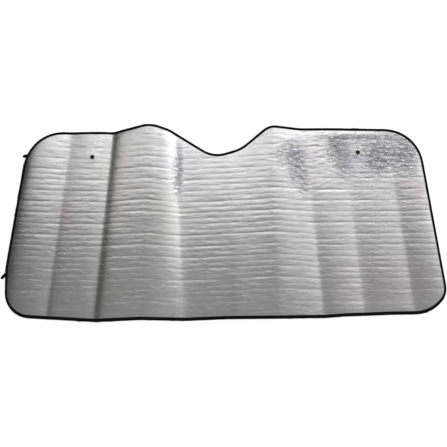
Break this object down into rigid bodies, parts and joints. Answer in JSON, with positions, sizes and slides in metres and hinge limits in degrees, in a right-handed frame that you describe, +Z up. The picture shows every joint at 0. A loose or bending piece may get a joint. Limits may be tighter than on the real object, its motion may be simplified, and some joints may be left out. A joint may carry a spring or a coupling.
{
  "type": "windscreen sunshade",
  "caption": "Folding foil-faced foam sunshade for a car windscreen, with concertina creases, a mirror notch, a fabric-bound edge, eyelets and elastic loops.",
  "frame": {"origin": "on the floor, under the middle of the whole part's bounding box", "axes": "+X along the long side, to the right with the foil face up and the notch away from the viewer; +Y to the top edge with the mirror notch; +Z up, out of the foil face"},
  "size_m": [1.3084, 0.5928, 0.0202],
  "materials": {
    "foil": "crinkled silver foil on foam",
    "tape": "black woven binding tape",
    "eyelet": "black enamel",
    "elastic": "black woven elastic"
  },
  "bodies": {
    "root": {"foil_sheet": "foil", "edge_binding": "tape", "left_eyelet": "eyelet", "left_eyelet_washer": "eyelet", "right_eyelet": "eyelet", "right_eyelet_washer": "eyelet", "upper_elastic_loop": "elastic", "lower_elastic_loop": "elastic"}
  },
  "joints": []
}
